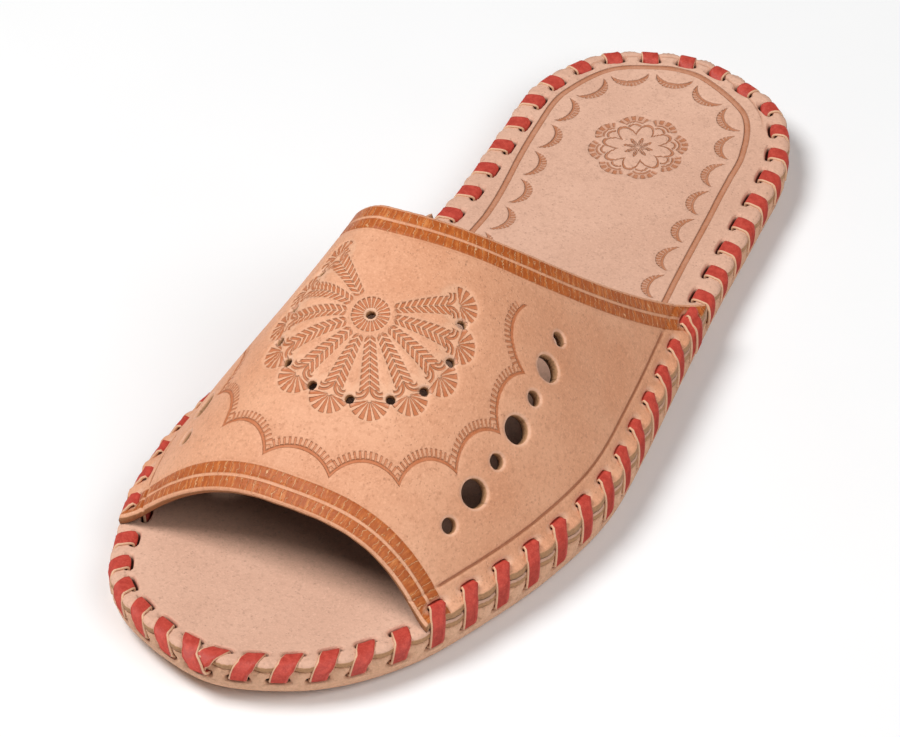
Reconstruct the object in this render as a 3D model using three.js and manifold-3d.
// Open slide of tooled leather, left foot: outsole, insole, upper and the lace that holds
// them. Lengths are millimetres. +Y points to the toe, +X to the inner side of the foot,
// +Z up; the sole stands on z = 0.
import * as THREE from 'three';
import { mergeVertices } from 'three/addons/utils/BufferGeometryUtils.js';
import Module from 'manifold-3d';

const wasm = await Module();
wasm.setup();

// Overall size
const LENGTH = 258;
const WIDTH = 104;

// Layers at the rim, from the ground up
const SOLE_HEIGHT = 8.6;
const INSOLE_THICK = 2.2;
const UPPER_THICK = 2;
const CLEARANCE = 0.3;

// Outsole: turned-up wall with a channel behind it for the lace
const WALL = 2.6;
const FLOOR = 3.2;
const CHANNEL_REACH = 4;

// Rounded lower edge of the outsole: how far it reaches in and up, and its shape between
const EDGE_REACH = 7;
const EDGE_RISE = 5.6;
const EDGE_SHAPE = [
  { inShare: 1, upShare: 0 },
  { inShare: 0.49, upShare: 0.08 },
  { inShare: 0.17, upShare: 0.34 },
  { inShare: 0, upShare: 1 },
];

// Sole profile: spring under the toe, raised waist, rounded heel
const TOE_SPRING = 3;
const TOE_START = 0.83;
const WAIST_LIFT = 1;
const WAIST_FROM = 0.27;
const WAIST_TO = 0.6;
const HEEL_LIFT = 0.8;
const HEEL_START = 0.09;

// Lace and its slits
const LACE_WIDTH = 4.4;
const LACE_THICK = 1.2;
const LACE_EASE = 0.45;
const STITCHES = { toe: 12, side: 13, heel: 22 };
const CORNER_SKIP = 5;
const LOWER_SLIT_HEIGHT = 5.6;
const SLIT_AT_HEEL = 4.8;
const SLIT_AT_TOE = 4.2;
const SLIT_BLEND = 8;
const UPPER_SLIT_RUN = 3.3;

// Upper: a band over the foot
const CROWN_HEIGHT = 50.2;
const CROWN_FALL = 15.3;
const CROWN_CURVE = 12;
const CROWN_SHIFT = 16;
const CROWN_SHIFT_FALL = 14;
const CROWN_SHIFT_MAX = 20;
const CROWN_STATION = 0.615;
const CROWN_SPAN = 60;
const SIDE_FULLNESS = { outer: [2.34, 1.01], inner: [1.9, 0.23] };
const FULLNESS_MIN = 1.3;
const FULLNESS_MAX = 4;
const MARGIN_BEND = 2.5;
const THROAT = { corner: 0.347, peak: 0.572, peakShare: 0.6, power: 1.75 };
const OPENING = { middle: 0.862, corner: 0.87, power: 4 };
const COLUMNS = 24;
const ROWS = 8;

// Punched holes of the upper
const AXIS_X = 2.2;
const ROSETTE_Y = 47.3;
const PIN_RADIUS = 23;
const PIN_STEP = 25.7;
const PINS_PER_SIDE = 5;
const PIN_SIZE = 2.6;
const PIN_SIDES = 6;
const PIN_FORESHORTEN = 0.9;
const ROW_HOLES = 7;
const ROW_PITCH = 9.9;
const ROW_FIRST = 76;
const ROW_OUT = 46.3;
const ROW_BOW = 0.0042;
const ROW_WIDEST = 43;
const ROW_SMALL = 4.2;
const ROW_LARGE = 7.4;
const SMALL_SIDES = 7;
const LARGE_SIDES = 10;

// Outline of the sole, toe to heel. Station is a share of the length ahead of the middle,
// outer and inner are shares of the width from the centre line.
const OUTLINE = [
  { station: 0.5, outer: 0.024, inner: 0.024 },
  { station: 0.478, outer: -0.13, inner: 0.226 },
  { station: 0.443, outer: -0.243, inner: 0.351 },
  { station: 0.381, outer: -0.352, inner: 0.428 },
  { station: 0.304, outer: -0.43, inner: 0.474 },
  { station: 0.223, outer: -0.49, inner: 0.481 },
  { station: 0.13, outer: -0.521, inner: 0.441 },
  { station: 0.029, outer: -0.496, inner: 0.381 },
  { station: -0.079, outer: -0.454, inner: 0.339 },
  { station: -0.195, outer: -0.407, inner: 0.322 },
  { station: -0.31, outer: -0.371, inner: 0.34 },
  { station: -0.397, outer: -0.335, inner: 0.346 },
  { station: -0.462, outer: -0.243, inner: 0.264 },
  { station: -0.488, outer: -0.12, inner: 0.153 },
  { station: -0.5, outer: 0.024, inner: 0.024 },
];

// Rim of the sole as a closed curve, toe tip first, then down the outer side
const SAMPLES = 720;
const rimCurve = new THREE.CatmullRomCurve3([
  ...OUTLINE.map((row) => new THREE.Vector3(row.outer * WIDTH, row.station * LENGTH, 0)),
  ...OUTLINE.slice(1, -1).reverse().map(
    (row) => new THREE.Vector3(row.inner * WIDTH, row.station * LENGTH, 0)),
], true, 'centripetal');
rimCurve.arcLengthDivisions = SAMPLES * 2;
const rimPoints = rimCurve.getSpacedPoints(SAMPLES).slice(0, SAMPLES);
const heelIndex = rimPoints.reduce((best, p, i) => (p.y < rimPoints[best].y ? i : best), 0);
const toeFound = rimPoints.reduce((best, p, i) => (p.y > rimPoints[best].y ? i : best), 0);
const toeIndex = toeFound > heelIndex ? toeFound - SAMPLES : toeFound;

// Point of the rim at a share of its length, with tangent and inward normal
function rimAt(share) {
  const at = (((share % 1) + 1) % 1) * SAMPLES;
  const low = Math.floor(at) % SAMPLES;
  const high = (low + 1) % SAMPLES;
  const point = rimPoints[low].clone().lerp(rimPoints[high], at - Math.floor(at));
  const before = rimPoints[(low - 3 + SAMPLES) % SAMPLES];
  const after = rimPoints[(high + 3) % SAMPLES];
  const tangent = after.clone().sub(before).normalize();
  const inward = new THREE.Vector3(-tangent.y, tangent.x, 0);
  return { point, tangent, inward };
}

// Rise of the whole sole above the ground at a station along the foot
function lift(y) {
  const share = y / LENGTH + 0.5;
  const toe = Math.max(0, (share - TOE_START) / (1 - TOE_START));
  const heel = Math.max(0, (HEEL_START - share) / HEEL_START);
  const waist = Math.min(1, Math.max(0, (share - WAIST_FROM) / (WAIST_TO - WAIST_FROM)));
  return TOE_SPRING * toe * toe + HEEL_LIFT * heel * heel
    + WAIST_LIFT * Math.sin(Math.PI * waist) ** 2;
}

// Side edge of the sole at a station along the foot
function edgeTable(from, to) {
  const rows = [];
  for (let i = from; i <= to; i += 1) {
    rows.push(rimPoints[((i % SAMPLES) + SAMPLES) % SAMPLES]);
  }
  return rows.sort((a, b) => a.y - b.y);
}
const outerEdge = edgeTable(toeIndex, heelIndex);
const innerEdge = edgeTable(heelIndex, SAMPLES + toeIndex);

function edgeX(table, y) {
  let low = 0;
  let high = table.length - 1;
  while (high - low > 1) {
    const middle = (low + high) >> 1;
    if (table[middle].y > y) {
      high = middle;
    } else {
      low = middle;
    }
  }
  const t = (y - table[low].y) / (table[high].y - table[low].y || 1);
  return table[low].x + (table[high].x - table[low].x) * Math.min(1, Math.max(0, t));
}

// Outer surface of the upper as a height over the plan, without the lift
const INSOLE_BOTTOM = SOLE_HEIGHT + CLEARANCE;
const INSOLE_TOP = INSOLE_BOTTOM + INSOLE_THICK;
const UPPER_BASE = INSOLE_TOP + CLEARANCE + UPPER_THICK;

function upperHeight(x, y) {
  const along = (y - (CROWN_STATION - 0.5) * LENGTH) / CROWN_SPAN;
  const rise = CROWN_HEIGHT - CROWN_FALL * along - CROWN_CURVE * along * along;
  const outer = edgeX(outerEdge, y);
  const inner = edgeX(innerEdge, y);
  const shift = Math.min(CROWN_SHIFT - CROWN_SHIFT_FALL * along, CROWN_SHIFT_MAX);
  const crown = (outer + inner) / 2 + shift;
  const onOuter = x < crown;
  const half = onOuter ? crown - outer : inner - crown;
  const depth = Math.max(0, onOuter ? x - outer : inner - x);
  const [base, slope] = onOuter ? SIDE_FULLNESS.outer : SIDE_FULLNESS.inner;
  const power = Math.min(FULLNESS_MAX, Math.max(FULLNESS_MIN, base + slope * along));
  const bent = Math.hypot(depth, MARGIN_BEND) - MARGIN_BEND;
  const bentHalf = Math.hypot(half, MARGIN_BEND) - MARGIN_BEND;
  const inside = Math.min(1, Math.max(0, 1 - bent / bentHalf));
  return UPPER_BASE + rise * (1 - inside ** power);
}

// Arc of the upper across the foot at a station, from the outer edge to the inner edge
const ARC_STEPS = 160;
function sectionArc(y) {
  const outer = edgeX(outerEdge, y);
  const inner = edgeX(innerEdge, y);
  const arc = [{ x: outer, run: 0 }];
  for (let i = 1; i <= ARC_STEPS; i += 1) {
    const x = outer + ((inner - outer) * (1 - Math.cos((Math.PI * i) / ARC_STEPS))) / 2;
    const last = arc[i - 1];
    const climb = upperHeight(x, y) - upperHeight(last.x, y);
    arc.push({ x, run: last.run + Math.hypot(x - last.x, climb) });
  }
  return arc;
}

function lookUp(arc, from, to, value) {
  let i = 1;
  while (i < arc.length - 1 && arc[i][from] < value) {
    i += 1;
  }
  const a = arc[i - 1];
  const b = arc[i];
  return a[to] + ((b[to] - a[to]) * (value - a[from])) / (b[from] - a[from]);
}

function surfacePoint(x, y) {
  return new THREE.Vector3(x, y, upperHeight(x, y) + lift(y));
}

function surfaceNormal(x, y) {
  const step = 0.4;
  const outer = edgeX(outerEdge, y);
  const inner = edgeX(innerEdge, y);
  const low = Math.max(outer, x - step);
  const high = Math.min(inner, x + step);
  const across = surfacePoint(high, y).sub(surfacePoint(low, y));
  const flat = Math.min(x - outer, inner - x) < step ? 0 : 1;
  const along = surfacePoint(x, y + step).sub(surfacePoint(x, y - step));
  along.z *= flat;
  across.z *= flat;
  return across.cross(along).normalize();
}

// Point of the upper at a run across the leather measured from the tooling axis
function pointAcross(run, y) {
  const arc = sectionArc(y);
  const x = lookUp(arc, 'run', 'x', lookUp(arc, 'x', 'run', AXIS_X) + run);
  return { point: surfacePoint(x, y), normal: surfaceNormal(x, y) };
}

// Solids from lists of corners and faces
function solidOf(positions, faces) {
  const geometry = new THREE.BufferGeometry();
  geometry.setAttribute('position', new THREE.Float32BufferAttribute(positions, 3));
  geometry.setIndex(faces);
  return toSolid(geometry);
}

function toSolid(geometry) {
  const bare = geometry.clone();
  bare.deleteAttribute('normal');
  bare.deleteAttribute('uv');
  const merged = mergeVertices(bare, 1e-4);
  return new wasm.Manifold(new wasm.Mesh({
    numProp: 3,
    vertProperties: new Float32Array(merged.attributes.position.array),
    triVerts: new Uint32Array(merged.index.array),
  }));
}

// Spans of the rim, toe first; a laced span holds one stitch in its middle
function rimShareAt(table, y) {
  const target = new THREE.Vector3(edgeX(table, y), y, 0);
  let best = 0;
  rimPoints.forEach((p, i) => {
    if (p.distanceToSquared(target) < rimPoints[best].distanceToSquared(target)) {
      best = i;
    }
  });
  return best / SAMPLES;
}

const THROAT_Y = (THROAT.corner - 0.5) * LENGTH;
const OPENING_Y = (OPENING.corner - 0.5) * LENGTH;
const corners = {
  openingInner: rimShareAt(innerEdge, OPENING_Y) - 1,
  openingOuter: rimShareAt(outerEdge, OPENING_Y),
  sideOuter: rimShareAt(outerEdge, THROAT_Y + CORNER_SKIP),
  throatOuter: rimShareAt(outerEdge, THROAT_Y),
  throatInner: rimShareAt(innerEdge, THROAT_Y),
  sideInner: rimShareAt(innerEdge, THROAT_Y + CORNER_SKIP),
};
const zones = [
  { from: corners.openingInner, to: corners.openingOuter, count: STITCHES.toe, laced: true },
  { from: corners.openingOuter, to: corners.sideOuter, count: STITCHES.side, upper: true },
  { from: corners.sideOuter, to: corners.throatOuter, count: 1 },
  { from: corners.throatOuter, to: corners.throatInner, count: STITCHES.heel, laced: true },
  { from: corners.throatInner, to: corners.sideInner, count: 1 },
  { from: corners.sideInner, to: corners.openingInner + 1, count: STITCHES.side, upper: true },
];
const spans = zones.flatMap(({ from, to, count, laced, upper = false }) => {
  const step = (to - from) / count;
  const one = { step, upper, laced: laced || upper };
  return Array.from({ length: count }, (_, i) => ({ ...one, start: from + i * step }));
});
const half = STITCHES.toe / 2;
const ringShares = [...spans.slice(half), ...spans.slice(0, half)].map((span) => span.start);
const STATIONS = ringShares.length;

// Closed stack of rings following the rim; each ring is an inset and a height
function rimStack(rings) {
  const positions = [];
  const faces = [];
  for (const ring of rings) {
    for (let i = 0; i < STATIONS; i += 1) {
      const { point, inward } = rimAt(ringShares[i]);
      const at = point.clone().addScaledVector(inward, ring.inset);
      positions.push(at.x, at.y, ring.height + lift(at.y));
    }
  }
  for (let r = 0; r + 1 < rings.length; r += 1) {
    for (let i = 0; i < STATIONS; i += 1) {
      const j = (i + 1) % STATIONS;
      const a = r * STATIONS + i;
      const b = r * STATIONS + j;
      const c = a + STATIONS;
      const d = b + STATIONS;
      faces.push(a, b, d, a, d, c);
    }
  }
  ladder(faces, 0, true);
  ladder(faces, (rings.length - 1) * STATIONS, false);
  return solidOf(positions, faces);
}

// Flat cap laid as rungs between the two sides of a ring
function ladder(faces, start, down) {
  const side = STATIONS / 2;
  const add = (a, b, c) => faces.push(...(down ? [a, c, b] : [a, b, c]));
  for (let i = 0; i < side; i += 1) {
    const a = start + i;
    const b = start + i + 1;
    const c = start + ((STATIONS - i) % STATIONS);
    const d = start + STATIONS - i - 1;
    if (i > 0) {
      add(a, b, c);
    }
    if (i < side - 1) {
      add(b, d, c);
    }
  }
}

// Box with its own axes, for the slits
function box(centre, axisX, axisY, axisZ, size) {
  const geometry = new THREE.BoxGeometry(size.x, size.y, size.z);
  const frame = new THREE.Matrix4().makeBasis(axisX, axisY, axisZ).setPosition(centre);
  return toSolid(geometry.applyMatrix4(frame));
}

function punch(at, diameter, sides, depth) {
  const geometry = new THREE.CylinderGeometry(diameter / 2, diameter / 2, depth, sides);
  const turn = new THREE.Quaternion().setFromUnitVectors(
    new THREE.Vector3(0, 1, 0), at.normal);
  geometry.applyQuaternion(turn);
  geometry.translate(at.point.x, at.point.y, at.point.z);
  return toSolid(geometry);
}

// Places of the stitches round the rim
const UP = new THREE.Vector3(0, 0, 1);
const SLIT = {
  width: LACE_WIDTH + 2 * CLEARANCE,
  thick: LACE_THICK + 2 * CLEARANCE,
};
const STAND_OFF = CLEARANCE + LACE_THICK / 2;

function sectionAt(rim, depth) {
  const at = rim.point.clone().addScaledVector(rim.inward, depth);
  return upperHeight(at.x, at.y);
}

const stitches = [];
for (const span of spans.filter((one) => one.laced)) {
  const rim = rimAt(span.start + span.step / 2);
  const nearToe = Math.min(1, Math.max(0, (rim.point.y - OPENING_Y) / SLIT_BLEND));
  const depth = SLIT_AT_HEEL + (SLIT_AT_TOE - SLIT_AT_HEEL) * nearToe;
  const stitch = { rim, onUpper: span.upper, depth };
  if (span.upper) {
    const step = 0.1;
    let run = 0;
    let reach = 0;
    while (run < UPPER_SLIT_RUN) {
      run += Math.hypot(step, sectionAt(rim, reach + step) - sectionAt(rim, reach));
      reach += step;
    }
    const rise = sectionAt(rim, reach + step) - sectionAt(rim, reach - step);
    const length = Math.hypot(rise, 2 * step);
    stitch.slit = {
      reach,
      height: sectionAt(rim, reach),
      out: -rise / length,
      up: (2 * step) / length,
    };
    stitch.depth = reach - stitch.slit.out * (UPPER_THICK + LACE_THICK + LACE_EASE);
  }
  stitches.push(stitch);
}

// Path of the lace for one stitch in its own section: depth from the rim and height
function stitchPath({ rim, depth, slit }, extra = 0) {
  const below = { depth, height: INSOLE_BOTTOM - LACE_THICK };
  const wallTop = slit ? UPPER_BASE : INSOLE_TOP;
  const off = STAND_OFF + extra + (slit ? LACE_EASE : 0);
  const round = off * Math.tan(Math.PI / 8);
  const overRim = [
    { depth: -round, height: wallTop + off },
    { depth: -off, height: wallTop + round },
    { depth: -off, height: LOWER_SLIT_HEIGHT },
  ];
  const under = { depth: WALL + LACE_THICK, height: LOWER_SLIT_HEIGHT };
  if (!slit) {
    return [below, { depth, height: INSOLE_TOP + off }, ...overRim, under];
  }
  const turn = (depth - slit.reach) / -slit.out;
  return [
    below,
    { depth, height: slit.height - turn * slit.up },
    { depth: slit.reach + off * slit.out, height: slit.height + off * slit.up },
    ...overRim,
    under,
  ];
}

// Four corners of the lace round a path point, thickness square to the path
function laceSection(rim, path, i, width = LACE_WIDTH) {
  const here = path[i];
  const before = path[Math.max(0, i - 1)];
  const after = path[Math.min(path.length - 1, i + 1)];
  const into = new THREE.Vector2(here.depth - before.depth, here.height - before.height);
  const away = new THREE.Vector2(after.depth - here.depth, after.height - here.height);
  if (i === 0) {
    into.copy(away);
  }
  if (i === path.length - 1) {
    away.copy(into);
  }
  into.normalize();
  away.normalize();
  const mitre = into.clone().add(away).normalize();
  const reach = LACE_THICK / 2 / Math.max(0.6, mitre.dot(into));
  const section = [];
  for (const [side, face] of [[-1, -1], [1, -1], [1, 1], [-1, 1]]) {
    const depth = here.depth - mitre.y * reach * face;
    const height = here.height + mitre.x * reach * face;
    const at = rim.point.clone().addScaledVector(rim.inward, depth);
    at.addScaledVector(rim.tangent, (side * width) / 2);
    const foot = rim.point.y + rim.inward.y * depth;
    section.push(at.x, at.y, height + lift(foot));
  }
  return section;
}

function laceSolid(sections, closed) {
  const faces = [];
  const count = sections.length;
  const segments = closed ? count : count - 1;
  for (let i = 0; i < segments; i += 1) {
    const a = i * 4;
    const b = ((i + 1) % count) * 4;
    for (let k = 0; k < 4; k += 1) {
      const m = (k + 1) % 4;
      faces.push(a + k, b + m, a + m, a + k, b + k, b + m);
    }
  }
  if (!closed) {
    const z = (count - 1) * 4;
    faces.push(0, 1, 2, 0, 2, 3, z, z + 2, z + 1, z, z + 3, z + 2);
  }
  const solid = solidOf(sections.flat(), faces);
  return solid.volume() < 0 ? solidOf(sections.flat(), faces.slice().reverse()) : solid;
}

// Slanting bars laid over the others: the lace ends at the toe, the double wraps at the
// corners of the throat
const CROSSING_RISE = LACE_THICK * 0.7;
const CROSSING_WIDTH = LACE_WIDTH * 0.88;
const lastOuter = STITCHES.toe + STITCHES.side - 1;
const firstInner = lastOuter + STITCHES.heel + 1;
const crossingPairs = [
  [STITCHES.toe / 2 - 1, STITCHES.toe / 2],
  [lastOuter, lastOuter + 1],
  [firstInner, firstInner - 1],
];

function buildLace() {
  const sections = [];
  for (const stitch of stitches) {
    const path = stitchPath(stitch);
    path.forEach((_, i) => sections.push(laceSection(stitch.rim, path, i)));
  }
  const crossings = crossingPairs.map(([from, to]) => {
    const high = stitchPath(stitches[from], CROSSING_RISE).slice(1, -4);
    const low = stitchPath(stitches[to], CROSSING_RISE);
    return laceSolid([
      ...high.map((_, i) => laceSection(stitches[from].rim, high, i, CROSSING_WIDTH)),
      ...[-3, -2].map((k) => laceSection(stitches[to].rim, low, low.length + k, CROSSING_WIDTH)),
    ], false);
  });
  return wasm.Manifold.union([laceSolid(sections, true), ...crossings]);
}

// Slits through the wall of the outsole, the insole and the upper
function wallSlits() {
  const size = new THREE.Vector3(SLIT.width, 4 * WALL, SLIT.thick);
  return wasm.Manifold.union(stitches.map(({ rim }) => {
    const centre = rim.point.clone().addScaledVector(rim.inward, WALL / 2);
    const slope = (lift(2 * centre.y - rim.point.y) - lift(rim.point.y)) / WALL;
    centre.z = LOWER_SLIT_HEIGHT + lift(centre.y);
    const through = rim.inward.clone().setZ(slope).normalize();
    return box(centre, rim.tangent, through, rim.tangent.clone().cross(through), size);
  }));
}

function insoleSlits() {
  const size = new THREE.Vector3(SLIT.width, SLIT.thick, 6 * INSOLE_THICK);
  return wasm.Manifold.union(stitches.map(({ rim, depth }) => {
    const centre = rim.point.clone().addScaledVector(rim.inward, depth);
    centre.z = INSOLE_TOP + lift(centre.y);
    return box(centre, rim.tangent, rim.inward, UP, size);
  }));
}

function upperSlits() {
  const size = new THREE.Vector3(SLIT.width, SLIT.thick, 4 * UPPER_THICK);
  return wasm.Manifold.union(stitches.filter((s) => s.onUpper).map(({ rim, slit }) => {
    const out = rim.inward.clone().multiplyScalar(slit.out).setZ(slit.up).normalize();
    const centre = rim.point.clone().addScaledVector(rim.inward, slit.reach);
    centre.z = slit.height + lift(centre.y);
    centre.addScaledVector(out, -UPPER_THICK / 2);
    return box(centre, rim.tangent, out.clone().cross(rim.tangent), out, size);
  }));
}

function upperHoles() {
  const depth = 4 * UPPER_THICK;
  const holes = [punch(pointAcross(0, ROSETTE_Y), PIN_SIZE, PIN_SIDES, depth)];
  for (const side of [-1, 1]) {
    for (let i = 0; i < PINS_PER_SIDE; i += 1) {
      const angle = THREE.MathUtils.degToRad((i + 0.5) * PIN_STEP);
      const ahead = PIN_RADIUS * Math.cos(angle) * (angle < 1 ? PIN_FORESHORTEN : 1);
      const at = pointAcross(side * PIN_RADIUS * Math.sin(angle), ROSETTE_Y + ahead);
      holes.push(punch(at, PIN_SIZE, PIN_SIDES, depth));
    }
    for (let i = 0; i < ROW_HOLES; i += 1) {
      const y = ROW_FIRST - ROW_PITCH * i;
      const run = ROW_OUT - ROW_BOW * (y - ROW_WIDEST) ** 2;
      const [size, sides] = i % 2 === 1 ? [ROW_LARGE, LARGE_SIDES] : [ROW_SMALL, SMALL_SIDES];
      holes.push(punch(pointAcross(side * run, y), size, sides, depth));
    }
  }
  return wasm.Manifold.union(holes);
}

// Upper as a band: outer skin, inner skin and the four edges
function throatY(share) {
  const side = share < THROAT.peakShare ? THROAT.peakShare : 1 - THROAT.peakShare;
  const away = Math.abs(share - THROAT.peakShare) / side;
  const rise = (THROAT.peak - THROAT.corner) * (1 - away ** THROAT.power);
  return (THROAT.corner + rise - 0.5) * LENGTH;
}

function openingY(share) {
  const away = Math.abs(2 * share - 1) ** OPENING.power;
  const station = OPENING.middle + (OPENING.corner - OPENING.middle) * away;
  return (station - 0.5) * LENGTH;
}

function columnShare(column) {
  const even = column / COLUMNS;
  return (even + (1 - Math.cos(Math.PI * even)) / 2) / 2;
}

function buildUpper() {
  const outside = [];
  const inside = [];
  for (let r = 0; r <= ROWS; r += 1) {
    for (let c = 0; c <= COLUMNS; c += 1) {
      const share = columnShare(c);
      const y = openingY(share) + ((throatY(share) - openingY(share)) * r) / ROWS;
      const arc = sectionArc(y);
      const x = lookUp(arc, 'run', 'x', share * arc[ARC_STEPS].run);
      const point = surfacePoint(x, y);
      const under = point.clone().addScaledVector(surfaceNormal(x, y), -UPPER_THICK);
      outside.push(point.x, point.y, point.z);
      inside.push(under.x, under.y, under.z);
    }
  }
  const wide = COLUMNS + 1;
  const offset = outside.length / 3;
  const faces = [];
  for (let r = 0; r < ROWS; r += 1) {
    for (let c = 0; c < COLUMNS; c += 1) {
      const a = r * wide + c;
      const b = a + 1;
      const d = a + wide;
      const e = d + 1;
      faces.push(a, d, e, a, e, b);
      faces.push(a + offset, e + offset, d + offset, a + offset, b + offset, e + offset);
    }
  }
  const edge = (a, b) => faces.push(a, b, b + offset, a, b + offset, a + offset);
  for (let c = 0; c < COLUMNS; c += 1) {
    edge(c, c + 1);
    edge(ROWS * wide + c + 1, ROWS * wide + c);
  }
  for (let r = 0; r < ROWS; r += 1) {
    edge((r + 1) * wide, r * wide);
    edge(r * wide + COLUMNS, (r + 1) * wide + COLUMNS);
  }
  return solidOf([...outside, ...inside], faces);
}

// Outsole and insole
const channelEdge = SLIT_AT_HEEL + CHANNEL_REACH;
const outsole = rimStack([
  ...EDGE_SHAPE.map((row) => ({ inset: EDGE_REACH * row.inShare, height: EDGE_RISE * row.upShare })),
  { inset: 0, height: SOLE_HEIGHT },
  { inset: WALL, height: SOLE_HEIGHT },
  { inset: WALL, height: FLOOR },
  { inset: channelEdge, height: FLOOR },
  { inset: channelEdge, height: SOLE_HEIGHT },
]).subtract(wallSlits());
const insole = rimStack([
  { inset: 0, height: INSOLE_BOTTOM },
  { inset: 0, height: INSOLE_TOP },
]).subtract(insoleSlits());
const upper = buildUpper().subtract(upperSlits()).subtract(upperHoles());
const lace = buildLace();

function part(name, solid, colour, roughness) {
  const mesh = solid.getMesh();
  const geometry = new THREE.BufferGeometry();
  geometry.setAttribute('position', new THREE.BufferAttribute(mesh.vertProperties, 3));
  geometry.setIndex(new THREE.BufferAttribute(mesh.triVerts, 1));
  geometry.computeVertexNormals();
  const material = new THREE.MeshStandardMaterial({ color: colour, roughness, metalness: 0 });
  const result = new THREE.Mesh(geometry, material);
  result.name = name;
  return result;
}

const group = new THREE.Group();
group.name = 'laced_leather_slide';
group.add(part('outsole', outsole, 0xcfa07c, 0.75));
group.add(part('insole', insole, 0xdeb298, 0.7));
group.add(part('upper', upper, 0xe0aa8a, 0.6));
group.add(part('lace', lace, 0xcd5041, 0.55));

// Centre the whole on its footprint
const bounds = new THREE.Box3().setFromObject(group);
for (const mesh of group.children) {
  const { min, max } = bounds;
  mesh.geometry.translate(-(min.x + max.x) / 2, -(min.y + max.y) / 2, -min.z);
}

export default group;
